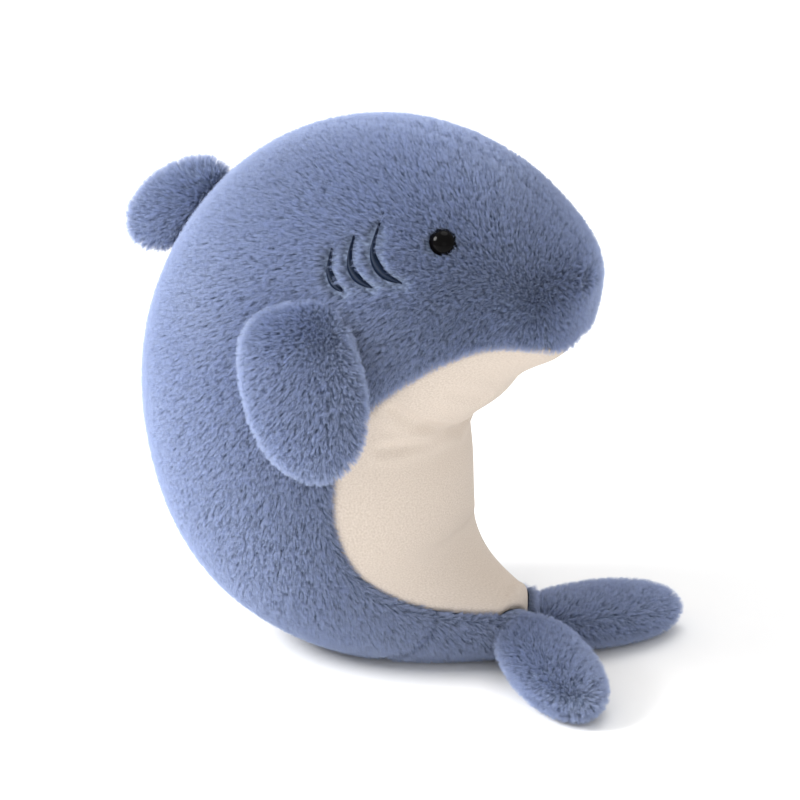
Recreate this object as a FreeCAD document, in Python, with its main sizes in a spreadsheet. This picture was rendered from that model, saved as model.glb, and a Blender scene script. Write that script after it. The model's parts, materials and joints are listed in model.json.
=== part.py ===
# A stuffed plush shark that sits curled up like the letter C: the head looks forward over
# a cream belly, and two tail flukes lie in front on the same surface. Millimetres, +X to
# the front, +Y to the shark's left, +Z up. The origin is under the middle of the toy.
import FreeCAD, Part
import Sketcher
import math
import os

Vector = FreeCAD.Vector
Rotation = FreeCAD.Rotation
Placement = FreeCAD.Placement

doc = FreeCAD.newDocument("plush_shark")
sheet = doc.addObject("Spreadsheet::Sheet", "Sizes")

# The body is shaped by ribs from snout to tail. A rib is an ellipse across the body:
# middle x and z, lean of its back end from +X in degrees, half depth, half width.
RIBS = {
    "snout": (116, 227, 88, 10, 15),
    "nose": (108, 223, 96, 29, 37),
    "brow": (86, 227, 101, 52, 56),
    "head": (65, 230, 105, 65, 66),
    "cheek": (37, 228, 116, 81, 78),
    "shoulder": (-11, 206, 134, 93, 86),
    "withers": (-27, 188, 144, 94, 88),
    "chest": (-41, 155, 160, 94, 90),
    "waist": (-40, 105, 179, 90, 86),
    "hip": (-22, 58, 196, 76, 76),
    "rump": (14, 36, 226, 52, 58),
    "stock": (48, 27, 250, 33, 38),
    "neck": (73, 24.5, 264, 22, 25),
}

# The seam between blue and cream, as the places where it passes, seen from the side.
BELLY_SEAM = {
    "lip": (121, 190),
    "chin": (93, 201),
    "jaw": (67, 198),
    "throat": (42, 184),
    "breast": (19, 164),
    "flank": (1, 126),
    "loin": (-1, 97),
    "thigh": (12, 61),
    "stern": (36, 41),
    "dock": (77, 33),
}

SIZES = {
    # plush fabric with its pile, and the play that loose pieces have round them
    "body_plush": 5,
    "fin_plush": 4,
    "root_gap": 0.4,
    "seat_play": 0.2,
    # every cutting block reaches past the whole toy
    "cutter_reach": 400,
    # cover of the tail's underside, bounded by an arc seen from the side
    "gusset_arc_x": 9,
    "gusset_arc_z": 39,
    "gusset_arc_radius": 32,
    "gusset_top": 45,
    # safety eye with its washer
    "eye_x": 56,
    "eye_z": 261,
    "eye_diameter": 15,
    "eye_dome": 6,
    "eye_sink": 1.5,
    "shank_diameter": 3.5,
    "shank_tail": 3,
    "washer_diameter": 16,
    "washer_thickness": 1.6,
    "washer_gap": 0.6,
    # embroidered gills: arcs of thread, half sunk into the plush
    "gill_thread": 2.6,
    "gill_sweep": 104,
    "gill_start": 152,
    "gill_sink": 1.2,
    "gill_front_x": 25,
    "gill_front_z": 257,
    "gill_front_radius": 21,
    "gill_middle_x": 12,
    "gill_middle_z": 252,
    "gill_middle_radius": 20,
    "gill_rear_x": 0,
    "gill_rear_z": 248,
    "gill_rear_radius": 18,
    # pectoral fin: an oval pad that hangs from a seam high on the side
    "pectoral_root_x": -5,
    "pectoral_root_z": 220,
    "pectoral_reach": 39,
    "pectoral_drift": 0,
    "pectoral_tilt": 20,
    "pectoral_half_length": 50,
    "pectoral_half_width": 35,
    "pectoral_half_thickness": 13,
    "pectoral_root": 9,
    # dorsal fin: an oval pad that lies back from a seam along the back
    "dorsal_reach": 2,
    "dorsal_drift": 12,
    "dorsal_tilt": 75,
    "dorsal_half_length": 36,
    "dorsal_half_width": 20,
    "dorsal_half_thickness": 12,
    "dorsal_root": 8.5,
    # flukes: two oval pads side by side at the end of the tail
    "fluke_middle_gap": 2,
    "fluke_floor_gap": 0.3,
    "fluke_reach": 40,
    "fluke_drift": 0,
    "fluke_tilt": 0,
    "fluke_spread": 48,
    "fluke_dip": 5,
    "fluke_half_length": 47,
    "fluke_half_width": 23,
    "fluke_half_thickness": 15,
    "fluke_root": 7,
}

sheet_rows = []


def put(alias, value):
    """Write one driving size into the next row of the sheet."""
    sheet_rows.append(alias)
    row = len(sheet_rows)
    sheet.set("A%d" % row, alias)
    sheet.set("B%d" % row, str(value))
    sheet.setAlias("B%d" % row, alias)


for rib, (x, z, lean, half_depth, half_width) in RIBS.items():
    put(rib + "_x", x)
    put(rib + "_z", z)
    put(rib + "_lean", lean)
    put(rib + "_depth", half_depth)
    put(rib + "_width", half_width)
for place, (x, z) in BELLY_SEAM.items():
    put("seam_%s_x" % place, x)
    put("seam_%s_z" % place, z)
for alias, value in SIZES.items():
    put(alias, value)
doc.recompute()


def size(alias):
    """A driving size, read back from the sheet."""
    return float(sheet.get(alias))


def bind(item, **expressions):
    """Tie properties of an object to cells of the sheet."""
    for name, expression in expressions.items():
        item.setExpression(name, expression)
    return item


def add(kind, label, **expressions):
    item = doc.addObject(kind, label)
    item.Label = label
    return bind(item, **expressions)


def boolean(kind, label, base, tool):
    item = add(kind, label)
    item.Refine = False
    item.Base = base
    item.Tool = tool
    return item


def fuse(label, items):
    item = add("Part::MultiFuse", label)
    item.Refine = False
    item.Shapes = items
    return item


def mirror(label, source):
    """The same piece on the other side of the toy."""
    item = add("Part::Mirroring", label)
    item.Source = source
    item.Normal = Vector(0, 1, 0)
    item.Base = Vector(0, 0, 0)
    return item


def block(label, corner_x, corner_y, corner_z):
    """A cutting block whose low corner lies at the given expressions."""
    item = add("Part::Box", label)
    bind(item, Length="Sizes.cutter_reach", Width="Sizes.cutter_reach", Height="Sizes.cutter_reach")
    item.setExpression("Placement.Base.x", corner_x)
    item.setExpression("Placement.Base.y", corner_y)
    item.setExpression("Placement.Base.z", corner_z)
    return item


# ---- body: outer form, stuffing form and the covers between them ----

def rib_direction(rib):
    lean = math.radians(size(rib + "_lean"))
    return Vector(math.cos(lean), 0, math.sin(lean))


def rib_middle(rib):
    return Vector(size(rib + "_x"), 0, size(rib + "_z"))


def rib_wire(rib, inset, shift):
    """One rib: a unit circle stretched to its half depth and half width, drawn in by the inset."""
    middle = rib_middle(rib) + shift
    deep = rib_direction(rib) * (size(rib + "_depth") - inset)
    wide = Vector(0, size(rib + "_width") - inset, 0)
    along = deep.cross(wide).normalize()
    stretch = FreeCAD.Matrix(
        deep.x, wide.x, along.x, middle.x,
        deep.y, wide.y, along.y, middle.y,
        deep.z, wide.z, along.z, middle.z,
    )
    circle = Part.Circle(Vector(), Vector(0, 0, 1), 1).toShape()
    return Part.Wire([circle.transformGeometry(stretch)])


def end_shift(rib, neighbour, inset):
    """How far an end rib moves towards its neighbour, so that the end is covered too."""
    step = rib_middle(neighbour) - rib_middle(rib)
    return step.normalize() * inset


def body_loft(label, inset):
    names = list(RIBS)
    shifts = {
        names[0]: end_shift(names[0], names[1], inset),
        names[-1]: end_shift(names[-1], names[-2], inset),
    }
    wires = [rib_wire(rib, inset, shifts.get(rib, Vector())) for rib in names]
    item = add("Part::Feature", label)
    item.Shape = Part.makeLoft(wires, True, False)
    return item


def body_form(label, inset):
    """The loft, cut flat underneath where the toy sits."""
    loft = body_loft(label + "_loft", inset)
    half_reach = "-Sizes.cutter_reach / 2"
    above = block(label + "_above_seat", half_reach, half_reach, "%s * 1 mm" % inset)
    return boolean("Part::Common", label, loft, above)


body_outer = body_form("body_outer", 0)
body_inner = body_form("body_inner", size("body_plush"))
body_cover = boolean("Part::Cut", "body_cover", body_outer, body_inner)
right_side = block("right_side", "-Sizes.cutter_reach / 2", "-Sizes.cutter_reach", "-Sizes.cutter_reach / 4")


def belly_cutter():
    """A slab through the toy in front of the seam between blue and cream."""
    far = size("cutter_reach") / 2
    points = [Vector(size("seam_%s_x" % p), -far, size("seam_%s_z" % p)) for p in BELLY_SEAM]
    curve = Part.BSplineCurve()
    curve.interpolate(points)
    low_corner = Vector(far, -far, points[-1].z)
    high_corner = Vector(far, -far, points[0].z)
    edges = [
        curve.toShape(),
        Part.makeLine(points[-1], low_corner),
        Part.makeLine(low_corner, high_corner),
        Part.makeLine(high_corner, points[0]),
    ]
    item = add("Part::Feature", "belly_cutter")
    item.Shape = Part.Face(Part.Wire(edges)).extrude(Vector(0, 2 * far, 0))
    return item


def gusset_cutter():
    """The region in front of an arc under the tail."""
    low_block = block("gusset_block", "Sizes.gusset_arc_x", "-Sizes.cutter_reach / 2",
                      "Sizes.gusset_top - Sizes.cutter_reach")
    arc = add("Part::Cylinder", "gusset_arc", Radius="Sizes.gusset_arc_radius", Height="Sizes.cutter_reach")
    arc.Placement = Placement(Vector(), Rotation(Vector(1, 0, 0), 90))
    arc.setExpression("Placement.Base.x", "Sizes.gusset_arc_x")
    arc.setExpression("Placement.Base.y", "Sizes.cutter_reach / 2")
    arc.setExpression("Placement.Base.z", "Sizes.gusset_arc_z")
    return boolean("Part::Cut", "gusset_cutter", low_block, arc)


cream_region = belly_cutter()
tail_region = gusset_cutter()
belly_panel = boolean("Part::Common", "belly_panel", body_cover, cream_region)
blue_cover = boolean("Part::Cut", "blue_cover", body_cover, cream_region)
tail_gusset = boolean("Part::Common", "tail_gusset", blue_cover, tail_region)
back_cover = boolean("Part::Cut", "back_cover", blue_cover, tail_region)
back_right = boolean("Part::Common", "back_right", back_cover, right_side)
doc.recompute()


# ---- places on the body's surface ----

body_skin = max(body_outer.Shape.Faces, key=lambda face: face.Area).Surface


def surface_ahead(start, direction):
    """The furthest point of the body's surface from a point inside it, in a direction."""
    line = Part.Line(start, start + direction)
    hits = [Vector(hit.X, hit.Y, hit.Z) for hit in line.intersect(body_skin)[0]]
    return max(hits, key=lambda hit: (hit - start).dot(direction))


def seat_on_body(x, z):
    """The point on the right side of the body at x and z, and the outward direction there."""
    point = surface_ahead(Vector(x, 0, z), Vector(0, -1, 0))
    normal = body_skin.normal(*body_skin.parameter(point))
    if normal.y > 0:
        normal = normal * -1
    return point, normal


def outward_placement(point, normal, turn=0):
    """Local Z outward, local X turned from the front by the given angle, seen from outside."""
    front = Vector(1, 0, 0) - normal * normal.x
    front.normalize()
    up = normal.cross(front)
    angle = math.radians(turn)
    start = front * math.cos(angle) + up * math.sin(angle)
    return Placement(point, Rotation(start, normal.cross(start), normal, "ZXY"))


# ---- safety eyes: a domed head with a shank, and a washer inside the cover ----

def origin_plane(body, role):
    return next(item for item in body.Origin.OriginFeatures if item.Role == role)


def eye_body(label):
    """A dome with a shank behind it, turned about local Z. The cover's face is z = 0."""
    body = doc.addObject("PartDesign::Body", label)
    body.Label = label
    sketch = body.newObject("Sketcher::SketchObject", label + "_profile")
    sketch.AttachmentSupport = (origin_plane(body, "XZ_Plane"), [""])
    sketch.MapMode = "FlatFace"
    rim = size("eye_diameter") / 2
    shank = size("shank_diameter") / 2
    base = -size("eye_sink")
    top = base + size("eye_dome")
    end = -size("body_plush") - size("washer_thickness") - size("shank_tail")
    middle_height = (top * top - base * base - rim * rim) / (2 * (top - base))
    centre = Vector(0, middle_height, 0)
    radius = top - middle_height
    rim_angle = math.atan2(base - middle_height, rim)
    arc = Part.ArcOfCircle(Part.Circle(centre, Vector(0, 0, 1), radius), rim_angle, math.pi / 2)
    corners = [
        Vector(rim, base, 0),
        Vector(shank, base, 0),
        Vector(shank, end, 0),
        Vector(0, end, 0),
        Vector(0, top, 0),
    ]
    sketch.addGeometry(arc, False)
    for first, second in zip(corners, corners[1:]):
        sketch.addGeometry(Part.LineSegment(first, second), False)
    constraints = [
        Sketcher.Constraint("Coincident", 0, 1, 1, 1),
        Sketcher.Constraint("Coincident", 1, 2, 2, 1),
        Sketcher.Constraint("Coincident", 2, 2, 3, 1),
        Sketcher.Constraint("Coincident", 3, 2, 4, 1),
        Sketcher.Constraint("Coincident", 4, 2, 0, 2),
        Sketcher.Constraint("Horizontal", 1),
        Sketcher.Constraint("Vertical", 2),
        Sketcher.Constraint("Horizontal", 3),
        Sketcher.Constraint("PointOnObject", 3, 2, -2),
        Sketcher.Constraint("PointOnObject", 4, 2, -2),
        Sketcher.Constraint("PointOnObject", 0, 3, -2),
    ]
    sketch.addConstraint(constraints)
    measures = [
        ("DistanceX", (-1, 1, 0, 1), rim, "Sizes.eye_diameter / 2 * 1 mm"),
        ("DistanceX", (-1, 1, 2, 1), shank, "Sizes.shank_diameter / 2 * 1 mm"),
        ("DistanceY", (1, 1, -1, 1), -base, "Sizes.eye_sink * 1 mm"),
        ("DistanceY", (1, 1, 4, 2), top - base, "Sizes.eye_dome * 1 mm"),
        ("DistanceY", (3, 1, -1, 1), -end,
         "(Sizes.body_plush + Sizes.washer_thickness + Sizes.shank_tail) * 1 mm"),
    ]
    for kind, ends, value, expression in measures:
        index = sketch.addConstraint(Sketcher.Constraint(kind, *ends, value))
        sketch.setExpression("Constraints[%d]" % index, expression)
    turn = body.newObject("PartDesign::Revolution", label + "_turned")
    turn.Profile = sketch
    turn.ReferenceAxis = (sketch, ["V_Axis"])
    turn.Angle = 360
    return body


def washer_body(label):
    """A flat ring, padded down from local z = 0."""
    body = doc.addObject("PartDesign::Body", label)
    body.Label = label
    sketch = body.newObject("Sketcher::SketchObject", label + "_ring")
    sketch.AttachmentSupport = (origin_plane(body, "XY_Plane"), [""])
    sketch.MapMode = "FlatFace"
    circles = [
        (size("washer_diameter") / 2, "Sizes.washer_diameter / 2 * 1 mm"),
        (size("shank_diameter") / 2 + size("seat_play"),
         "(Sizes.shank_diameter / 2 + Sizes.seat_play) * 1 mm"),
    ]
    for number, (radius, expression) in enumerate(circles):
        sketch.addGeometry(Part.Circle(Vector(), Vector(0, 0, 1), radius), False)
        sketch.addConstraint(Sketcher.Constraint("Coincident", number, 3, -1, 1))
        index = sketch.addConstraint(Sketcher.Constraint("Radius", number, radius))
        sketch.setExpression("Constraints[%d]" % index, expression)
    pad = body.newObject("PartDesign::Pad", label + "_thickness")
    pad.Profile = sketch
    pad.setExpression("Length", "Sizes.washer_thickness * 1 mm")
    pad.Reversed = True
    return body


def plug(label, radius, low, high, placement):
    """A cutting cylinder along the placement's Z, from one height to another."""
    item = add("Part::Feature", label)
    item.Shape = Part.makeCylinder(radius, high - low, Vector(0, 0, low))
    item.Placement = placement
    return item


eye_seat = outward_placement(*seat_on_body(size("eye_x"), size("eye_z")))
play = size("seat_play")
eye_right = eye_body("eye_right")
eye_right.Placement = eye_seat
eye_left = mirror("eye_left", eye_right)
washer_top = -size("body_plush") - size("washer_gap")
washer_low = washer_top - size("washer_thickness")
eye_washer_right = washer_body("eye_washer_right")
eye_washer_right.Placement = eye_seat.multiply(Placement(Vector(0, 0, washer_top), Rotation()))
eye_washer_left = mirror("eye_washer_left", eye_washer_right)

shank_end = -size("body_plush") - size("washer_thickness") - size("shank_tail")
shank_radius = size("shank_diameter") / 2 + play
eye_radius = size("eye_diameter") / 2 + play
washer_radius = size("washer_diameter") / 2 + play
shank_hole = plug("shank_hole", shank_radius, shank_end - play, size("eye_dome"), eye_seat)
eye_pocket = plug("eye_pocket", eye_radius, -size("eye_sink") - play, size("eye_dome"), eye_seat)
washer_pocket = plug("washer_pocket", washer_radius, washer_low - play, 0, eye_seat)


# ---- gills: three embroidered arcs on each side ----

def gill(label, place):
    """An arc of satin-stitched thread, worked through the cover."""
    arc = add("Part::Torus", label, Radius1="Sizes.gill_%s_radius" % place,
              Radius2="Sizes.gill_thread / 2", Angle3="Sizes.gill_sweep")
    seat = seat_on_body(size("gill_%s_x" % place), size("gill_%s_z" % place))
    half_sweep = math.radians(size("gill_sweep") / 2)
    radius = size("gill_%s_radius" % place)
    to_centre = Vector(math.cos(half_sweep), math.sin(half_sweep), 0) * -radius
    to_centre.z = -size("gill_sink")
    frame = outward_placement(*seat, size("gill_start"))
    arc.Placement = frame.multiply(Placement(to_centre, Rotation()))
    return arc


gills = {}
for place in ("front", "middle", "rear"):
    right_gill = gill("gill_%s_right" % place, place)
    gills["gill_%s_right" % place] = right_gill
    gills["gill_%s_left" % place] = mirror("gill_%s_left" % place, right_gill)
right_gills = [item for label, item in gills.items() if label.endswith("right")]

right_trim = fuse("right_trim", [shank_hole, eye_pocket] + right_gills)
back_panel_right = boolean("Part::Cut", "back_panel_right", back_right, right_trim)
back_panel_left = mirror("back_panel_left", back_panel_right)
right_anchor = fuse("right_anchor", [shank_hole, washer_pocket])
both_anchors = fuse("both_anchors", [right_anchor, mirror("left_anchor", right_anchor)])
body_stuffing = boolean("Part::Cut", "body_stuffing", body_inner, both_anchors)


# ---- fins: flat oval pads, each sewn on along a straight root that it flexes about ----

def placed_block(label, place, corner):
    item = add("Part::Box", label)
    bind(item, Length="Sizes.cutter_reach", Width="Sizes.cutter_reach", Height="Sizes.cutter_reach")
    item.Placement = place.multiply(Placement(corner, Rotation()))
    return item


def fin_form(fin, label, inset, place):
    """An oval pad. Local X points away from the root, Y runs along it, Z is thickness.
    Behind the root line only what lies within the root's radius is kept, so that the
    fin can flex there without touching the body."""
    reach = size("cutter_reach")
    oval = add("Part::Ellipsoid", label + "_oval")
    bind(oval,
         Radius1="Sizes.%s_half_width - %s" % (fin, inset),
         Radius2="Sizes.%s_half_length - %s" % (fin, inset),
         Radius3="Sizes.%s_half_thickness - %s" % (fin, inset))
    middle = Vector(size(fin + "_reach"), size(fin + "_drift"), 0)
    turned = Rotation(Vector(0, 0, 1), size(fin + "_tilt"))
    on_edge = Rotation(Vector(1, 0, 0), 90)
    oval.Placement = place.multiply(Placement(middle, turned.multiply(on_edge)))
    root = add("Part::Cylinder", label + "_root", Radius="Sizes.%s_root - %s" % (fin, inset),
               Height="Sizes.cutter_reach")
    along_root = Placement(Vector(0, reach / 2, 0), Rotation(Vector(1, 0, 0), 90))
    root.Placement = place.multiply(along_root)
    ahead = placed_block(label + "_ahead", place, Vector(0, -reach / 2, -reach / 2))
    kept = fuse(label + "_kept", [ahead, root])
    return boolean("Part::Common", label, oval, kept)


def fin_pieces(fin, side, upper, lower, place):
    """The two covers and the stuffing of one fin, named by the side that each faces."""
    name = fin + side
    reach = size("cutter_reach")
    outer = fin_form(fin, name + "_form", 0, place)
    stuffing = fin_form(fin, name + "_stuffing", size("fin_plush"), place)
    cover = boolean("Part::Cut", name + "_cover", outer, stuffing)
    above = placed_block(name + "_above", place, Vector(-reach / 2, -reach / 2, 0))
    upper_panel = boolean("Part::Common", "%s_%s_panel" % (name, upper), cover, above)
    lower_panel = boolean("Part::Cut", "%s_%s_panel" % (name, lower), cover, above)
    return [upper_panel, lower_panel, stuffing]


def mirrored_pieces(pieces):
    return [mirror(item.Label.replace("right", "left"), item) for item in pieces]


def body_reach(start, direction):
    """How far the body extends from a point inside it in the given direction."""
    return (surface_ahead(start, direction) - start).dot(direction)


def fin_frame(origin, away, thickness):
    """Local X away from the root, local Z through the thickness."""
    return Placement(origin, Rotation(away, thickness.cross(away), thickness, "ZXY"))


def pectoral_place():
    """The right pectoral hangs down, far enough out to clear the body behind it."""
    outward = Vector(0, -1, 0)
    x = size("pectoral_root_x")
    z = size("pectoral_root_z")
    reach = size("pectoral_reach")
    half_width = size("pectoral_half_width")
    gap = size("root_gap")
    across = [x - half_width, x - half_width / 2, x, x + half_width / 2]
    at_root = max(body_reach(Vector(place, 0, z), outward) for place in across[1:])
    down = [z, z - reach / 2, z - reach, z - 1.5 * reach, z - 2 * reach]
    below = max(body_reach(Vector(place, 0, height), outward) for place in across for height in down)
    root_y = at_root + size("pectoral_root") + gap
    middle_y = below + size("pectoral_half_thickness") + gap
    splay = math.asin((middle_y - root_y) / reach)
    away = Vector(0, -math.sin(splay), -math.cos(splay))
    thickness = Vector(0, -math.cos(splay), math.sin(splay))
    return fin_frame(Vector(x, -root_y, z), away, thickness)


def dorsal_place():
    """The dorsal stands on the back at the withers, square to the surface there."""
    outward = rib_direction("withers")
    thickness = Vector(0, -1, 0)
    down_back = thickness.cross(outward)
    middle = rib_middle("withers")
    half_length = size("dorsal_half_length")
    drifts = [-half_length / 2, 0, half_length / 2]
    highest = max(body_reach(middle + down_back * drift, outward) for drift in drifts)
    origin = middle + outward * (highest + size("dorsal_root") + size("root_gap"))
    return fin_frame(origin, outward, thickness)


def fluke_place():
    """The right fluke lies forward and outward, just off the floor and the middle plane."""
    spread = math.radians(size("fluke_spread"))
    dip = math.radians(size("fluke_dip"))
    length = size("fluke_half_length")
    width = size("fluke_half_width")
    thick = size("fluke_half_thickness")
    reach = size("fluke_reach")
    sideways = math.hypot(length * math.sin(spread), width * math.cos(spread))
    downwards = math.hypot(length * math.sin(dip), thick * math.cos(dip))
    root_half_width = width * math.sqrt(1 - (reach / length) ** 2)
    root_depth = size("fluke_root") * math.cos(spread) + root_half_width * math.sin(spread)
    origin = Vector(
        size("neck_x") + root_depth + size("root_gap"),
        -(sideways + size("fluke_middle_gap") - reach * math.sin(spread)),
        downwards + size("fluke_floor_gap") + reach * math.sin(dip),
    )
    level = Vector(math.cos(spread), -math.sin(spread), 0)
    away = level * math.cos(dip) - Vector(0, 0, 1) * math.sin(dip)
    thickness = level * math.sin(dip) + Vector(0, 0, 1) * math.cos(dip)
    return fin_frame(origin, away, thickness)


hinges = {"pectoral": pectoral_place(), "dorsal": dorsal_place(), "fluke": fluke_place()}
pectoral = fin_pieces("pectoral", "_right", "outer", "inner", hinges["pectoral"])
dorsal = fin_pieces("dorsal", "", "right", "left", hinges["dorsal"])
fluke = fin_pieces("fluke", "_right", "upper", "lower", hinges["fluke"])
fins = pectoral + dorsal + fluke + mirrored_pieces(pectoral) + mirrored_pieces(fluke)
doc.recompute()


# ---- every sub-part is checked, and then written under its own label ----

body_pieces = [back_panel_right, back_panel_left, belly_panel, tail_gusset, body_stuffing]
eye_pieces = [eye_right, eye_left, eye_washer_right, eye_washer_left]
sub_parts = body_pieces + eye_pieces + list(gills.values()) + fins

for item in doc.Objects:
    if "Invalid" in item.State or "Error" in item.State:
        raise RuntimeError("%s did not build" % item.Label)
for item in sub_parts:
    shape = item.Shape
    if shape.isNull() or not shape.isValid() or not shape.Solids:
        raise RuntimeError("%s has no valid solid" % item.Label)

os.makedirs("parts", exist_ok=True)
for item in sub_parts:
    item.Shape.exportStep(os.path.join("parts", item.Label + ".step"))
    print("%-28s %d solid, %.0f mm3" % (item.Label, len(item.Shape.Solids), item.Shape.Volume))
for fin, place in hinges.items():
    axis = place.Rotation.multVec(Vector(0, 1, 0))
    print("%s hinge at %s along %s" % (fin, place.Base, axis))
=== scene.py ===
import json
import math

import bpy
import numpy as np
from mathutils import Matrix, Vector
from mathutils.bvhtree import BVHTree


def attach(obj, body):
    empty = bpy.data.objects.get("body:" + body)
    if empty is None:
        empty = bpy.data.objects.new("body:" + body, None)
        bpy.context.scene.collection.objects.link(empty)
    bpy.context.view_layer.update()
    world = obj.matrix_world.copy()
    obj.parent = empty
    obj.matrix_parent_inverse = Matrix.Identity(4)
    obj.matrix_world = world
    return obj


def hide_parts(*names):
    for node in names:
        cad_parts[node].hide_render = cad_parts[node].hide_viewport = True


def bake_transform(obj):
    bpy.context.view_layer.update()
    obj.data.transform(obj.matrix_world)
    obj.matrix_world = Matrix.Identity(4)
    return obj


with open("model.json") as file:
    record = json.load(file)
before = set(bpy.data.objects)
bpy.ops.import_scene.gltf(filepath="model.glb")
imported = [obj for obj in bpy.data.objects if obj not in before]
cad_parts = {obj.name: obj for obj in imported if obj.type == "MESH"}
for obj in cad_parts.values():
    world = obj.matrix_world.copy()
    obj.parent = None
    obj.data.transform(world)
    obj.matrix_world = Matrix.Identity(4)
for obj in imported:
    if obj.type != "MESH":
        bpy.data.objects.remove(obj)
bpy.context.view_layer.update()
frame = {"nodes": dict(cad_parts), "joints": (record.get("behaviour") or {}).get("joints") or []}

MM = 0.001

# ---- The stuffed body form -------------------------------------------------------------
# Under the plush lies one firm pad of fibre, bent like the letter C from snout to tail.
# Its shape is given by oval ribs across it, in millimetres: middle x and z, lean of the
# back end from +X in degrees, half depth and half width. The covers are sewn round it.
RIBS = np.array([
    (116, 227, 88, 10, 15),
    (108, 223, 96, 29, 37),
    (86, 227, 101, 52, 56),
    (65, 230, 105, 65, 66),
    (37, 228, 116, 81, 78),
    (-11, 206, 134, 93, 86),
    (-27, 188, 144, 94, 88),
    (-41, 155, 160, 94, 90),
    (-40, 105, 179, 90, 86),
    (-22, 58, 196, 76, 76),
    (14, 36, 226, 52, 58),
    (48, 27, 250, 33, 38),
    (73, 24.5, 264, 22, 25),
], float)
BACKING_DEPTH = 3.6          # from the outside of the pile down to the woven backing
SOLE = 2.2                   # the backing stays this far off the shelf where the toy sits
NOSE_SPAN, NOSE_DOME = 0.012, 2.5     # both ends are drawn together into low domes
TAIL_SPAN, TAIL_DOME = 0.03, 11
SOLE_SOFTNESS = 1.5          # how gently the backing flattens where it meets the shelf
REACH_FROM_TAIL = 430        # millimetres that the body's full run counts for, near its tail
NAP_RUN = 0.62               # metres of nap map from snout to tail
HEM_TUCK = 3.0               # how far the last row of a cover is turned in at its seam


def smooth_course(stations, values):
    """A natural cubic curve through values at the stations, as a function."""
    gaps = np.diff(stations)
    system = np.eye(len(stations))
    bends = np.zeros_like(values)
    for i in range(1, len(stations) - 1):
        system[i, i - 1:i + 2] = gaps[i - 1], 2 * (gaps[i - 1] + gaps[i]), gaps[i]
        rise = (values[i + 1] - values[i]) / gaps[i] - (values[i] - values[i - 1]) / gaps[i - 1]
        bends[i] = 6 * rise
    bends = np.linalg.solve(system, bends)

    def at(place):
        place = np.asarray(place, float)
        i = np.clip(np.searchsorted(stations, place) - 1, 0, len(gaps) - 1)
        gap = gaps[i][..., None]
        before = (place - stations[i])[..., None]
        after = gap - before
        curved = bends[i] * after ** 3 + bends[i + 1] * before ** 3
        low = values[i] / gap - bends[i] * gap / 6
        high = values[i + 1] / gap - bends[i + 1] * gap / 6
        return curved / (6 * gap) + low * after + high * before

    return at


spacing = np.hypot(np.diff(RIBS[:, 0]), np.diff(RIBS[:, 1])) + 4
stations = np.concatenate([[0], np.cumsum(spacing)]) / spacing.sum()
rib_at = smooth_course(stations, RIBS)


def girth_at(along):
    """The mean half size of the body's rib, which turns an angle into a distance."""
    return rib_at(along)[..., 3:5].mean(-1)


def towards_end(last, before):
    """The way in which the body's middle line runs out at one of its ends."""
    step = RIBS[last, :2] - RIBS[before, :2]
    return step / np.hypot(*step)


def body_points(along, turn, sink=BACKING_DEPTH):
    """Points of the body. Along runs 0 to 1 from snout to tail, a little further over the
    two end domes, and turn goes round from the belly's middle (0) over the left side to
    the middle of the back (pi)."""
    rib = rib_at(np.clip(along, 0, 1))
    nose = np.clip(-along / NOSE_SPAN, 0, 1) * math.pi / 2
    tail = np.clip((along - 1) / TAIL_SPAN, 0, 1) * math.pi / 2
    lean = np.radians(rib[..., 2])
    forward = -(rib[..., 3] - sink) * np.cos(turn) * np.cos(nose + tail)
    aside = (rib[..., 4] - sink) * np.sin(turn) * np.cos(nose + tail)
    nose_way = towards_end(0, 1) * NOSE_DOME
    tail_way = towards_end(-1, -2) * TAIL_DOME
    x = rib[..., 0] + forward * np.cos(lean) + nose_way[0] * np.sin(nose) + tail_way[0] * np.sin(tail)
    z = rib[..., 1] + forward * np.sin(lean) + nose_way[1] * np.sin(nose) + tail_way[1] * np.sin(tail)
    z = SOLE + SOLE_SOFTNESS * np.logaddexp(0, (z - SOLE) / SOLE_SOFTNESS)
    return np.stack([x, aside, z], -1) * MM


def normals_of(grid):
    """Unit normals of a grid of points, from the steps between its rows and columns."""
    normals = np.cross(np.gradient(grid, axis=0), np.gradient(grid, axis=1))
    return normals / np.maximum(np.linalg.norm(normals, axis=-1, keepdims=True), 1e-12)


def grid_mesh(name, grid, uv, flip=False):
    """A mesh with a quad between each four neighbouring points of a grid."""
    rows, columns = grid.shape[:2]
    index = np.arange(rows * columns).reshape(rows, columns)
    quads = np.stack([index[:-1, :-1], index[1:, :-1], index[1:, 1:], index[:-1, 1:]], -1).reshape(-1, 4)
    if flip:
        quads = quads[:, ::-1]
    mesh = bpy.data.meshes.new(name)
    mesh.from_pydata(grid.reshape(-1, 3).tolist(), [], quads.tolist())
    layer = mesh.uv_layers.new(name="nap")
    layer.data.foreach_set("uv", uv.reshape(-1, 2)[quads.ravel()].ravel())
    mesh.polygons.foreach_set("use_smooth", np.ones(len(quads), bool))
    mesh.update()
    piece = bpy.data.objects.new(name, mesh)
    bpy.context.scene.collection.objects.link(piece)
    return piece


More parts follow.
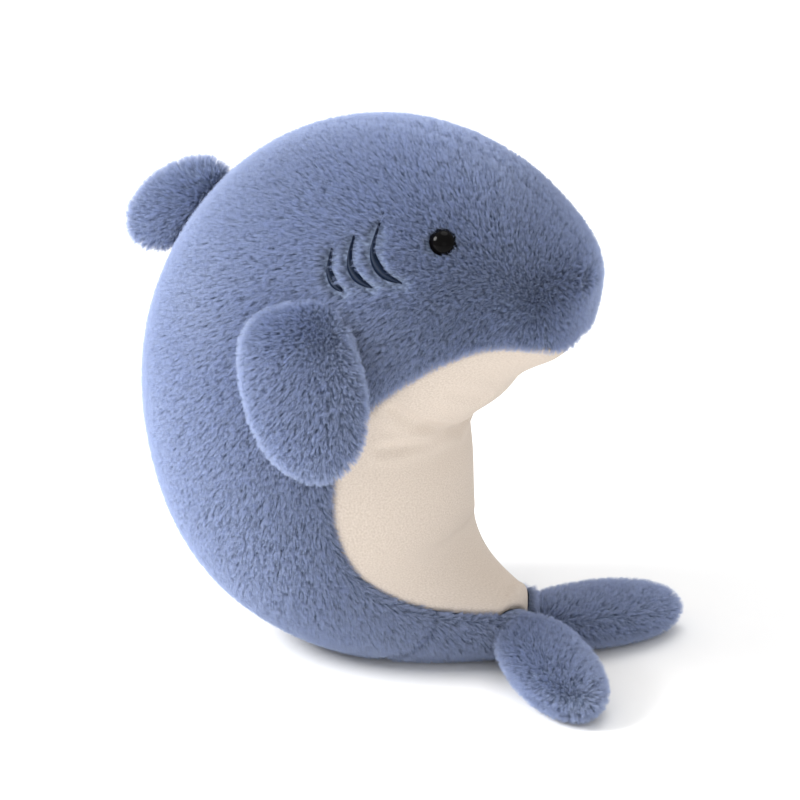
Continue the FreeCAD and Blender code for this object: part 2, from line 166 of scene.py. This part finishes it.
# ---- Plush cloth -----------------------------------------------------------------------
# All covers are knitted plush. The blue covers have a dense pile that leans a little along
# the body, with fibres drawn paler at their tips and darker at their roots as painted shade
# deep in the pile. The cream one is velvety and is shown by its relief alone.
class Strand:
    """One socket of a material. Arithmetic on strands adds Math nodes."""

    def __init__(self, tree, socket):
        self.tree = tree
        self.socket = socket

    def node(self, kind, settings=None, inputs=None, output=0):
        """A new node of any kind: its settings first, then values or links of its sockets."""
        made = self.tree.nodes.new(kind)
        for name, value in (settings or {}).items():
            setattr(made, name, value)
        for name, value in (inputs or {}).items():
            if isinstance(value, Strand):
                self.tree.links.new(value.socket, made.inputs[name])
            else:
                made.inputs[name].default_value = value
        return Strand(self.tree, made.outputs[output])

    def maths(self, operation, first, second):
        return self.node("ShaderNodeMath", {"operation": operation}, {0: first, 1: second})

    def __add__(self, other):
        return self.maths("ADD", self, other)

    __radd__ = __add__

    def __sub__(self, other):
        return self.maths("SUBTRACT", self, other)

    def __rsub__(self, other):
        return self.maths("SUBTRACT", other, self)

    def __mul__(self, other):
        return self.maths("MULTIPLY", self, other)

    __rmul__ = __mul__

    def __truediv__(self, other):
        return self.maths("DIVIDE", self, other)

    def __pow__(self, other):
        return self.maths("POWER", self, other)

    def dye(self, first, second):
        """A colour that goes from first to second as this strand goes from 0 to 1."""
        return self.node("ShaderNodeMix", {"data_type": "RGBA"}, {0: self, 6: first, 7: second}, 2)

    def clouds(self, scale, detail=2.0, place=None, roughness=0.5):
        """Soft random patches, in the row frame unless a place is given."""
        place = place or self.node("ShaderNodeTexCoord", output="Object")
        return self.node("ShaderNodeTexNoise", None,
                         {"Vector": place, "Scale": scale, "Detail": detail, "Roughness": roughness}, 0)

    def drawn_out(self, across, along):
        """The nap's own map stretched along the way that the pile lies."""
        nap = self.node("ShaderNodeUVMap", {"uv_map": "nap"})
        return self.node("ShaderNodeVectorMath", {"operation": "MULTIPLY"},
                         {0: nap, 1: (along, across, 1)})


def material(name, **shader):
    """A new material whose shader's own sockets hold the given constants."""
    made = bpy.data.materials.new(name)
    made.use_nodes = True
    principled = made.node_tree.nodes["Principled BSDF"]
    for socket, value in shader.items():
        principled.inputs[socket.replace("_", " ")].default_value = value
    return made, Strand(made.node_tree, None), principled


def connect(strand, principled, socket):
    strand.tree.links.new(strand.socket, principled.inputs[socket])


def rgb(red, green, blue):
    return (red, green, blue, 1)


def backing(name, deep, pale, tuft, depth, sheen=0.25):
    """The skin under the pile: mottled like the tufts, with their relief, darker in their hollows and
    paler on their crests as painted shade.
    """
    made, start, principled = material(name, Roughness=0.92, Sheen_Weight=sheen, Sheen_Roughness=0.6)
    tufts = start.clouds(1.0, 3.0, start.drawn_out(tuft, tuft * 0.45))
    broad = start.clouds(14, 1.0)
    # Painted shade: the colour is darker where the tuft relief is low and paler where it is high.
    painted_tuft_shade = (tufts - 0.36) * 3.2 * (0.75 + broad * 0.5)
    connect(painted_tuft_shade.dye(deep, pale), principled, "Base Color")
    bump = start.node("ShaderNodeBump", None, {"Strength": 0.6, "Distance": depth, "Height": tufts})
    connect(bump, principled, "Normal")
    return made


def pile(name, deep, pale, odd):
    """The fibres: dark at the root as painted shade deep in the pile, pale at the tip, each a little
    different.
    """
    made, start, principled = material(name, Roughness=0.55)
    principled.inputs["Specular IOR Level"].default_value = 0.25
    hair = start.node("ShaderNodeHairInfo", output="Intercept")
    chance = start.node("ShaderNodeHairInfo", output="Random")
    broad = start.clouds(9, 2.0)
    # Painted shade: each fibre is darker towards its root, where shade falls deep in the pile.
    rise = hair ** 1.1
    tone_with_root_shade = rise.dye(deep, pale)
    tone_with_root_shade = (chance * 0.45).dye(tone_with_root_shade, odd)
    tone_with_root_shade = ((broad - 0.5) * 1.2).dye(tone_with_root_shade, odd)
    connect(tone_with_root_shade, principled, "Base Color")
    return made


# The blue backing's deep colour is painted shade in the hollows between its tufts.
blue_backing = backing("blue_plush_backing", rgb(0.10, 0.13, 0.20), rgb(0.24, 0.30, 0.44), 620, 0.0012)
# The pile's deep root colour is painted shade from within the pile.
blue_pile = pile("blue_plush_pile", rgb(0.10, 0.138, 0.235),
                 rgb(0.45, 0.535, 0.78), rgb(0.54, 0.60, 0.74))
# The cream velvet's deep colour is painted shade in the hollows of its relief.
cream_velvet = backing("cream_plush_velvet", rgb(0.57, 0.485, 0.41),
                       rgb(0.68, 0.595, 0.515), 900, 0.0006, 0.0)

SQUARE_CM = 1e-4
TUFTS_PER_SQUARE_CM = 150
FIBRES_PER_TUFT = 9
FIBRE_LENGTH = 5.6           # millimetres, as are the tuft's width and the fibre's radius
TUFT_WIDTH = 0.65
FIBRE_RADIUS = 0.062
BODY_LEAN, FIN_LEAN = 0.45, 0.4       # radians from upright
GROWTH = 4                   # a fibre grows this many times as long as its starting speed


def brush(piece, name, lean, seed, keep=""):
    """Grows the pile on a cover, which leans a little along the nap. Keep names a vertex
    group that says where the pile grows."""
    area = sum(face.area for face in piece.data.polygons)
    middle_face = piece.data.polygons[len(piece.data.polygons) // 2]
    corners = [piece.data.uv_layers["nap"].data[i].uv for i in middle_face.loop_indices]
    winding = sum(before.cross(after) for before, after in zip(corners, corners[1:] + corners[:1]))
    system = piece.modifiers.new(name, "PARTICLE_SYSTEM").particle_system
    system.seed = seed
    system.vertex_group_density = keep
    hair = system.settings
    hair.name = name
    hair.type = "HAIR"
    hair.count = int(TUFTS_PER_SQUARE_CM * area / SQUARE_CM)
    hair.hair_step = 3
    hair.use_advanced_hair = True
    hair.emit_from = "FACE"
    hair.distribution = "RAND"
    hair.use_emit_random = True
    hair.use_even_distribution = True
    hair.normal_factor = FIBRE_LENGTH * MM * math.cos(lean) / GROWTH
    hair.tangent_factor = FIBRE_LENGTH * MM * math.sin(lean) / GROWTH
    hair.tangent_phase = math.copysign(0.5, winding)
    hair.factor_random = FIBRE_LENGTH * MM * 0.05
    hair.child_type = "SIMPLE"
    hair.rendered_child_count = FIBRES_PER_TUFT
    hair.child_percent = 1
    hair.child_radius = TUFT_WIDTH * MM
    hair.child_roundness = 0.3
    hair.child_length = 1.0
    hair.child_length_threshold = 0.3
    hair.clump_factor = 0
    hair.clump_shape = 0.2
    hair.roughness_2 = 0.0006
    hair.roughness_2_size = 0.5
    hair.roughness_endpoint = 0.0004
    hair.render_step = 3
    hair.display_step = 1
    hair.root_radius = FIBRE_RADIUS
    hair.tip_radius = FIBRE_RADIUS * 0.35
    hair.radius_scale = MM
    hair.material = 2
    hair.use_hair_bspline = False


def cover(piece, skin, fibres, body, slot, *nodes):
    """Gives a cover its two materials and puts it in place of its CAD node."""
    piece.data.materials.append(skin)
    if fibres:
        piece.data.materials.append(fibres)
    if body:
        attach(piece, body)
    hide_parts(*nodes)


# ---- The seams of the body -------------------------------------------------------------
# Three covers meet along two seams: the cream belly is let in between the blue sides
# along a curved seam, and the underside of the tail is a blue piece of its own, sewn on
# along an arc. Both seams are the same on the left and the right.
BELLY_SEAM = np.array([
    (121, 190), (93, 201), (67, 198), (42, 184), (19, 164),
    (1, 126), (-1, 97), (12, 61), (36, 41), (77, 33),
], float)
ARC_MIDDLE = (9, 39)
ARC_RADIUS = 32
END_HALF_ANGLE = math.acos(0.35)      # half of the belly's width where its seam runs out
LIP_SPAN = 0.02              # the belly opens to its full width over this part of the body
TAIL_GATHER = 0.8            # how much of its width is gathered in at the tail's end
SEAM_SMOOTHING, ARC_SMOOTHING = 15, 9 # how many samples of each seam are averaged

seam_steps = np.hypot(*np.diff(BELLY_SEAM, axis=0).T)
seam_stations = np.concatenate([[0], np.cumsum(seam_steps)])
seam_line = smooth_course(seam_stations, BELLY_SEAM)(np.linspace(0, seam_stations[-1], 400))


def belly_half_angle(along):
    """Half of the belly's width as a turn, from where each rib's line meets the seam."""
    rib = rib_at(along)
    lean = np.radians(rib[2])
    across = np.array([math.cos(lean), math.sin(lean)])
    side = np.array([-across[1], across[0]])
    offset = (seam_line - rib[:2]) @ side
    depth = (seam_line - rib[:2]) @ across
    crossings = np.where(offset[:-1] * offset[1:] <= 0)[0]
    if len(crossings) == 0:
        return 0.0 if along < 0.5 else END_HALF_ANGLE
    nearest = min(crossings, key=lambda i: abs(depth[i]))
    return math.acos(np.clip(-depth[nearest] / rib[3], -1, 1))


fine_along = np.linspace(0, 1, 500)
raw_half = np.array([belly_half_angle(a) for a in fine_along])
lip = fine_along[np.argmax(raw_half > 0.02)]
smoothing = np.hanning(SEAM_SMOOTHING) / np.hanning(SEAM_SMOOTHING).sum()
padded_half = np.pad(raw_half, SEAM_SMOOTHING // 2, mode="edge")
belly_half = np.convolve(padded_half, smoothing, mode="valid")


def half_at(along):
    """Half of the belly's width as a turn, smoothed, and drawn in at both of its ends."""
    open_up = np.clip((along - lip) / LIP_SPAN, 0, 1)
    close_up = 1 - TAIL_GATHER * np.clip((along - 1) / TAIL_SPAN, 0, 1)
    return np.interp(along, fine_along, belly_half) * np.sqrt(open_up) * close_up


def tail_seam_at(share):
    """How far along the body the tail's arc lies, at a share of the way from the belly
    seam (0) to the middle of the back (1)."""
    along = np.linspace(0.5, 1, 400)
    turn = half_at(along) + share * (math.pi - half_at(along))
    points = body_points(along, turn, 0) / MM
    away = np.hypot(points[:, 0] - ARC_MIDDLE[0], points[:, 2] - ARC_MIDDLE[1])
    beyond = (points[:, 0] > ARC_MIDDLE[0]) & (away > ARC_RADIUS)
    return along[np.argmax(beyond)]


shares = np.linspace(0, 1, 60)
tail_seam = np.array([tail_seam_at(s) for s in shares])
padded_seam = np.pad(tail_seam, ARC_SMOOTHING // 2, mode="edge")
tail_seam = np.convolve(padded_seam, np.ones(ARC_SMOOTHING) / ARC_SMOOTHING, mode="valid")


def seam_dip(distance, width=2.6, depth=2.4):
    """How far the backing is pulled in at a distance from a seam, in millimetres."""
    return depth * np.exp(-(distance / width) ** 2)


# ---- Blue back covers ------------------------------------------------------------------
# Two mirrored pieces of dusty blue plush wrap the head, sides and back. They meet in a
# seam down the middle of the back and are turned in at the belly and tail seams.
SIDE_ROWS, SIDE_COLUMNS = 300, 110
SIDE_NAP = 0.08              # metres of nap map to a radian round the body
REACH_FROM_LIP = 600         # millimetres that the full run counts for, in front of the lip


def side_grid(side):
    """Points and nap map of one side's cover, with closer columns near its two seams."""
    eased = (1 - np.cos(np.linspace(0, math.pi, SIDE_COLUMNS))) / 2
    share = eased * 0.5 + np.linspace(0, 1, SIDE_COLUMNS) * 0.5
    step = np.concatenate([np.linspace(-1, 0, 14)[:-1], np.linspace(0, 1, SIDE_ROWS)])[:, None]
    share = np.broadcast_to(share, (len(step), SIDE_COLUMNS))
    along = np.where(step < 0, step * NOSE_SPAN, step * np.interp(share, shares, tail_seam))
    half = half_at(along)
    turn = half + share * (math.pi - half)
    grid = body_points(along, turn * side)
    outward = normals_of(grid) * side
    girth = girth_at(along)
    from_belly = (turn - half) * girth + np.clip(lip - along, 0, 1) * REACH_FROM_LIP
    from_back = (math.pi - turn) * girth
    from_tail = (1 - step) * REACH_FROM_TAIL * np.ones_like(share)
    dip = seam_dip(from_belly) + seam_dip(from_back, 2.0, 0.8) + seam_dip(from_tail, 2.4, 2.0)
    tuck = np.where(from_belly < 0.3, HEM_TUCK, 0) * (along > lip)
    grid = grid - outward * ((dip + tuck) * MM)[..., None]
    uv = np.stack([along * NAP_RUN, turn * SIDE_NAP], -1)
    return grid, uv


back_covers = {}
for name, side in (("back_cover_right", -1), ("back_cover_left", 1)):
    grid, uv = side_grid(side)
    back_covers[side] = grid_mesh(name, grid, uv, flip=side < 0)
    cover(back_covers[side], blue_backing, blue_pile, "torso", "blue_plush",
          name.replace("cover", "panel"))


# ---- Gill slits ------------------------------------------------------------------------
# Three crescents on each cheek, satin-stitched in navy thread through the blue cover. Each
# is a hair's breadth at the top, widest below its middle, and runs out to a point in front.
# Sizes in millimetres: where the top lies, and how far the slit runs forward and down.
GILLS = {"front": (22, 272, 16, 32), "middle": (10, 265, 13, 28), "rear": (-1, 257.5, 9, 24)}
GILL_CURVE = np.array([(0, 0), (-0.11, 0.45), (0.06, 0.71), (0.44, 0.89), (1, 1)], float)
GILL_TIP, GILL_BREADTH = 0.7, 4.6     # width at both ends, and what the middle has more
GILL_CROWN = 3.0                      # how far the stitches stand up from the backing
GILL_EDGE = 0.6                       # how far their rims lie under its face
GILL_BARE, GILL_LEAD = 3.3, 1.3       # how far the pile is parted, and mostly in front
STITCH_PITCH = 0.0008

right_mesh = back_covers[-1].data
right_cloth = BVHTree.FromPolygons([v.co for v in right_mesh.vertices],
                                   [f.vertices[:] for f in right_mesh.polygons])


def on_cheek(x, z, height):
    """A point over the right cover, at a height in millimetres above its backing."""
    outside = Vector((x * MM, -0.3, z * MM))
    place, normal = right_cloth.ray_cast(outside, Vector((0, 1, 0)))[:2]
    if normal.y > 0:
        normal.negate()
    return np.array(place + normal * height * MM)


def distance_to(points, line):
    """Distances in millimetres from points to a line through some places."""
    line = np.array(line, float)
    best = np.full(points.shape[:-1], np.inf)
    for a, b in zip(line, line[1:]):
        way = b - a
        share = np.clip(((points - a) @ way) / (way @ way), 0, 1)[..., None]
        best = np.minimum(best, np.linalg.norm(points - a - share * way, axis=-1))
    return best


def satin(name, deep, pale):
    """Navy embroidery thread: fine stitches side by side across the slit, darker in the grooves between
    them as painted shade and paler on their crests.
    """
    made, start, principled = material(name, Roughness=0.5, IOR=1.3)
    nap = start.node("ShaderNodeUVMap", {"uv_map": "nap"})
    run = start.node("ShaderNodeSeparateXYZ", None, {"Vector": nap})
    stitch = start.maths("SINE", run * (2 * math.pi / STITCH_PITCH), 0.0) * 0.5 + 0.5
    # Painted shade: the thread's colour darkens in the grooves of the stitch relief and pales on its
    # crests.
    connect(stitch.dye(deep, pale), principled, "Base Color")
    bump = start.node("ShaderNodeBump", None, {"Strength": 0.5, "Distance": 0.0003, "Height": stitch})
    connect(bump, principled, "Normal")
    return made


# The deep thread colour is painted shade in the grooves between stitches.
navy_thread = satin("navy_thread", rgb(0.002, 0.006, 0.018), rgb(0.007, 0.018, 0.045))
bare_spots = []
for gill, (top_x, top_z, forward, down) in GILLS.items():
    curve = GILL_CURVE * [forward, -down] + [top_x, top_z]
    course = smooth_course(np.linspace(0, 1, len(curve)), curve)
    steps = np.linspace(0, 1, 36)
    middle = course(steps)
    ways = np.gradient(middle, axis=0)
    ways /= np.linalg.norm(ways, axis=-1, keepdims=True)
    squares = np.stack([-ways[:, 1], ways[:, 0]], -1)
    breadth = GILL_TIP + GILL_BREADTH * np.sin(math.pi * steps ** 1.4)
    acrosses = np.linspace(-0.5, 0.5, 7)
    ribbon = np.array([[on_cheek(*(m + q * b * a), GILL_CROWN * (1 - 4 * a * a) - GILL_EDGE)
                        for a in acrosses] for m, q, b in zip(middle, squares, breadth)])
    run = np.concatenate([[0], np.cumsum(np.linalg.norm(np.diff(middle, axis=0), axis=1))]) * MM
    uv = np.stack(np.broadcast_arrays(run[:, None], acrosses[None, :]), -1)
    seat = np.array([on_cheek(m[0] + GILL_LEAD, m[1], 0) for m in middle[4:]])
    bare_spots.append((seat / MM, GILL_BARE))
    for side in (-1, 1):
        name = "gill_stitching_%s_%s" % (gill, "left" if side > 0 else "right")
        piece = grid_mesh(name, ribbon * [1, -side, 1], uv, flip=side > 0)
        piece.data.materials.append(navy_thread)
        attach(piece, "torso")
        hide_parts(name.replace("stitching_", ""))


# ---- Eyes and their washers ------------------------------------------------------------
# Domed safety eyes of glossy black plastic, each with a shank that goes through the cover
# into a washer behind it. No pile grows within EYE_BARE millimetres of an eye's middle.
EYE_BARE = 8.6


def hard_plastic(name, deep, pale, gloss, shine):
    """Moulded plastic, whose gloss is its least roughness and whose shine is its IOR."""
    made, start, principled = material(name, IOR=shine)
    mottle = start.clouds(220, 2.0)
    connect(mottle.dye(deep, pale), principled, "Base Color")
    connect(mottle * 0.05 + gloss, principled, "Roughness")
    return made


def dress(node, finish):
    """A CAD node that is shown as it is, in its own material."""
    frame["nodes"][node].data.materials.clear()
    frame["nodes"][node].data.materials.append(finish)


black_plastic = hard_plastic("eye_plastic", rgb(0.001, 0.001, 0.001),
                             rgb(0.002, 0.0015, 0.0015), 0.05, 1.15)
white_plastic = hard_plastic("washer_plastic", rgb(0.72, 0.72, 0.70),
                             rgb(0.80, 0.80, 0.78), 0.35, 1.46)
for side in ("right", "left"):
    dress("eye_" + side, black_plastic)
    dress("eye_washer_" + side, white_plastic)
eye_corners = np.array([v.co for v in frame["nodes"]["eye_right"].data.vertices])
eye_middle = eye_corners[eye_corners[:, 1] < np.median(eye_corners[:, 1])].mean(0) / MM
bare_spots.append(([eye_middle, eye_middle + [0.1, 0, 0]], EYE_BARE))


# ---- Pile of the back covers -----------------------------------------------------------
# Dense pile that leans along the body. It doesn't grow on the eyes or gill slits, though
# fibres from beside them can reach over their edges.
BARE_FADE = 1.2              # the pile thickens to its full density over this distance

for side, piece in back_covers.items():
    points = np.array([v.co for v in piece.data.vertices]) / MM * [1, -side, 1]
    points[:, 1] = -np.abs(points[:, 1])
    growth = np.ones(len(points))
    for line, reach in bare_spots:
        growth = np.minimum(growth, np.clip((distance_to(points, line) - reach) / BARE_FADE, 0, 1))
    grown = piece.vertex_groups.new(name="grown")
    grown.add(range(len(points)), 1.0, "REPLACE")
    for i in np.flatnonzero(growth < 1):
        grown.add([int(i)], float(growth[i]), "REPLACE")
    brush(piece, piece.name + "_pile", BODY_LEAN, 11 + side, keep="grown")


# ---- Cream belly -----------------------------------------------------------------------
# One long cover of short velvety plush from chin to tail. It is a little slack, so it
# folds where the body bends forward, and it is let in between the two sides.
BELLY_ROWS, BELLY_COLUMNS = 260, 120
BELLY_NAP = 0.09             # metres of nap map from the middle to a seam
FOLD_RIM = 0.3               # the cloth stands up beside a fold by this share of its depth
# Each fold: the places that it runs through, its width and its depth, in millimetres.
FOLDS = [
    (((32, 65, 163), (40, 51, 150), (48, 0, 132)), 4.0, 2.6),
    (((24, 62, 138), (37, 45, 136), (46, 27, 134)), 3.4, 2.2),
    (((61, 52, 171), (68, 30, 162)), 5.0, 1.8),
]

along = lip + (1 - lip) * np.linspace(0, 1, BELLY_ROWS) ** 1.15
along = np.concatenate([along, 1 + np.linspace(0, TAIL_SPAN, 12)[1:]])[:, None] * np.ones(BELLY_COLUMNS)
across = np.linspace(-1, 1, BELLY_COLUMNS)[None, :] * np.ones((len(along), 1))
grid = body_points(along, across * half_at(along), BACKING_DEPTH - 0.6)
outward = normals_of(grid)
from_seam = (1 - np.abs(across)) * half_at(along) * girth_at(along)
dip = seam_dip(from_seam, 3.2, 3.0)
mirrored = np.abs(grid / MM * [0, 1, 0]) + grid / MM * [1, 0, 1]
for line, width, depth in FOLDS:
    away = distance_to(mirrored, line)
    rim = FOLD_RIM * depth * np.exp(-((away - 2 * width) / width) ** 2)
    dip += depth * np.exp(-(away / width) ** 2) - rim
tuck = np.where(from_seam < 0.2, HEM_TUCK, 0)
grid = grid - outward * ((dip + tuck) * MM)[..., None]
belly = grid_mesh("belly_cover", grid, np.stack([along * NAP_RUN, across * BELLY_NAP], -1))
cover(belly, cream_velvet, None, "torso", "cream_plush", "belly_panel", "body_stuffing")


# ---- Cover of the tail's underside -----------------------------------------------------
# A blue piece that wraps the end of the tail from one belly seam under it to the other.
# It is sewn to the sides along the arc, and its end is gathered round between the flukes.
TAIL_ROWS, TAIL_COLUMNS = 70, 150
TAIL_NAP = 0.05              # metres of nap map to a radian round the tail

share = 1 - np.abs(np.linspace(-1, 1, TAIL_COLUMNS))
start = np.interp(share, shares, tail_seam)
step = np.linspace(0, 1, TAIL_ROWS)[:, None]
along = np.concatenate([start + step * (1 - start),
                        1 + np.linspace(0, TAIL_SPAN, 16)[1:, None] * np.ones(TAIL_COLUMNS)])
half = half_at(along)
turn = half + np.linspace(0, 1, TAIL_COLUMNS) * (2 * math.pi - 2 * half)
grid = body_points(along, turn)
outward = normals_of(grid)
from_arc = (along - start) * REACH_FROM_TAIL
tuck = np.zeros_like(along)
tuck[0] = HEM_TUCK
from_belly = np.minimum(turn - half, 2 * math.pi - half - turn) * girth_at(np.clip(along, 0, 1))
dip = seam_dip(from_arc, 2.4, 2.0) + seam_dip(from_belly) * (along < 1)
grid = grid - outward * ((dip + tuck) * MM)[..., None]
uv = np.stack([along * NAP_RUN, turn * TAIL_NAP], -1)
gusset = grid_mesh("tail_cover", grid, uv)
cover(gusset, blue_backing, blue_pile, "torso", "blue_plush", "tail_gusset")
brush(gusset, "tail_pile", BODY_LEAN, 31)


# ---- Fins ------------------------------------------------------------------------------
# Each fin is a flat oval pad of two plush covers, sewn together round the rim, turned
# out and filled. It is sewn to the body along its root, where the cloth bends. Sizes are
# in millimetres: reach and drift of the oval's middle from the hinge, tilt in degrees,
# half length, half width, half thickness, root depth, how far it is sunk in the body, and
# how blunt its root end is (1 for a plain oval, less for a wide shoulder).
FINS = {
    "pectoral": (38, 0, 20, 47, 33, 13, 8, 9, 0.45),
    "dorsal": (2, 12, 75, 36, 20, 12, 8.5, 0, 1),
    "fluke": (40, 0, 0, 47, 23, 15, 7, 0, 0.55),
}
PAD_ROWS, PAD_COLUMNS = 90, 70
FIN_BACKING_DEPTH = 3.0
ROOT_BEND = 16               # a sunk root comes up out of the body over this distance
BLEND_REACH = 14             # the cloth stops bending this far out from the hinge
FIN_NAP_START, FIN_NAP = 30, 0.06     # the nap fans out from this far behind the hinge


def pad_local(sizes, face):
    """One half of a pad in its own frame: X away from the root, Y along it, Z thickness."""
    reach, drift, tilt, length, width, thickness, root, sunk, bluntness = sizes
    length, width, thickness = [v - FIN_BACKING_DEPTH for v in (length, width, thickness)]
    down = np.linspace(0, math.pi, PAD_ROWS)[:, None]
    over = np.linspace(-math.pi / 2, math.pi / 2, PAD_COLUMNS)[None, :]
    lengthwise = -length * np.cos(down) * np.ones_like(over)
    swell = np.sin(down) ** np.where(down < math.pi / 2, bluntness, 1)
    crosswise = width * swell * np.sin(over)
    height = face * thickness * swell ** 0.9 * np.cos(over) ** 0.95
    tilt = math.radians(tilt)
    x = reach + lengthwise * math.cos(tilt) - crosswise * math.sin(tilt)
    y = drift + lengthwise * math.sin(tilt) + crosswise * math.cos(tilt)
    x = -root + 2 * np.logaddexp(0, (x + root) / 2)
    height = height - sunk * np.exp(-((x + root) / ROOT_BEND) ** 2)
    return np.stack([x, y, height], -1)


def pad_frame(joint, sense, nodes):
    """The hinge of a fin, and its own three directions, read from the frame."""
    hinge = next(j for j in frame["joints"] if j["name"] == joint)
    origin = np.array(hinge["pos_m"])
    along = sense * np.array(hinge["axis"], float)
    along /= np.linalg.norm(along)
    corners = np.concatenate([[v.co for v in frame["nodes"][n].data.vertices] for n in nodes])
    away = corners.mean(0) - origin
    away -= along * (away @ along)
    away /= np.linalg.norm(away)
    return origin, away, along, np.cross(away, along)


def sew_fin(kind, joint, sense, faces, mirrored=False):
    """Both covers of a fin. Faces names the side that looks along +Z, then the other."""
    prefix = kind.replace("left", "right")
    origin, away, along, thick = pad_frame(joint, sense, ["%s_%s_panel" % (prefix, f) for f in faces])
    sizes = FINS[kind.split("_")[0]]
    for face, word in zip((1, -1), faces):
        local = pad_local(sizes, face)
        nap_x, nap_y = local[..., 0] + FIN_NAP_START, local[..., 1]
        uv = np.stack([np.hypot(nap_x, nap_y) * MM, np.arctan2(nap_y, nap_x) * FIN_NAP], -1)
        grid = origin + (local * MM) @ np.array([away, along, thick])
        base = origin - away * sizes[6] * MM
        tip = origin + away * BLEND_REACH * MM
        if mirrored:
            grid, base, tip = [places * [1, -1, 1] for places in (grid, base, tip)]
        name = "%s_%s_cover" % (kind, word)
        piece = grid_mesh(name, grid, uv, flip=(face > 0) == mirrored)
        cover(piece, blue_backing, blue_pile, None, "blue_plush", name.replace("cover", "panel"))
        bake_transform(piece)
        brush(piece, name + "_pile", FIN_LEAN, 41 + face)
        if face > 0:
            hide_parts(kind + "_stuffing")


sew_fin("pectoral_right", "pectoral_right_flap", -1, ("outer", "inner"))
sew_fin("pectoral_left", "pectoral_right_flap", -1, ("outer", "inner"), True)
sew_fin("dorsal", "dorsal_sway", 1, ("right", "left"))
sew_fin("fluke_right", "fluke_right_flex", -1, ("upper", "lower"))
sew_fin("fluke_left", "fluke_right_flex", -1, ("upper", "lower"), True)


# ---- Shelf, light and camera -----------------------------------------------------------
# The toy sits on a plain white surface under soft light that comes from high on the left,
# and is seen from its front right, a little from above.
VIEW_TURN, VIEW_RISE = math.radians(21), math.radians(22)
VIEW_DISTANCE, LENS = 3.03, 250


def sheet_material(name, colour):
    """An even matt surface with a faint grain."""
    made, start, principled = material(name, Roughness=0.7)
    grain = start.clouds(60, 4.0)
    connect((grain * 0.5).dye(rgb(*colour), rgb(*[c * 0.97 for c in colour])), principled, "Base Color")
    return made


floor_mesh = bpy.data.meshes.new("shelf")
floor_mesh.from_pydata([(-6, -6, 0), (6, -6, 0), (6, 6, 0), (-6, 6, 0)], [], [(0, 1, 2, 3)])
floor = bpy.data.objects.new("shelf", floor_mesh)
floor.data.materials.append(sheet_material("white_shelf", (0.92, 0.92, 0.92)))
bpy.context.scene.collection.objects.link(floor)


def area_light(name, place, aim, size, power):
    """A round lamp that looks from a place at its aim, in metres and watts."""
    light = bpy.data.lights.new(name, "AREA")
    light.shape = "DISK"
    light.size = size
    light.energy = power
    lamp = bpy.data.objects.new(name, light)
    lamp.location = place
    lamp.rotation_euler = (Vector(aim) - Vector(place)).to_track_quat("-Z", "Y").to_euler()
    bpy.context.scene.collection.objects.link(lamp)


area_light("key", (-1.4, -0.75, 1.25), (0, 0, 0.15), size=0.9, power=60)
area_light("fill", (1.0, -1.6, 0.6), (0, 0, 0.15), size=1.2, power=2)
area_light("top", (0.1, 0.4, 1.8), (0, 0, 0.1), size=1.2, power=9)

world = bpy.data.worlds.new("white_room")
world.use_nodes = True
world.node_tree.nodes["Background"].inputs["Color"].default_value = (1, 1, 1, 1)
world.node_tree.nodes["Background"].inputs["Strength"].default_value = 0.9
bpy.context.scene.world = world
bpy.context.scene.view_settings.view_transform = "Standard"

camera = bpy.data.objects.new("camera", bpy.data.cameras.new("camera"))
camera.data.lens = LENS
towards = Vector((math.sin(VIEW_TURN) * math.cos(VIEW_RISE),
                  -math.cos(VIEW_TURN) * math.cos(VIEW_RISE), math.sin(VIEW_RISE)))
aim = Vector((0.0084, 0.0025, 0.1417))
camera.location = aim + towards * VIEW_DISTANCE
camera.rotation_euler = (-towards).to_track_quat("-Z", "Y").to_euler()
bpy.context.scene.collection.objects.link(camera)
bpy.context.scene.camera = camera
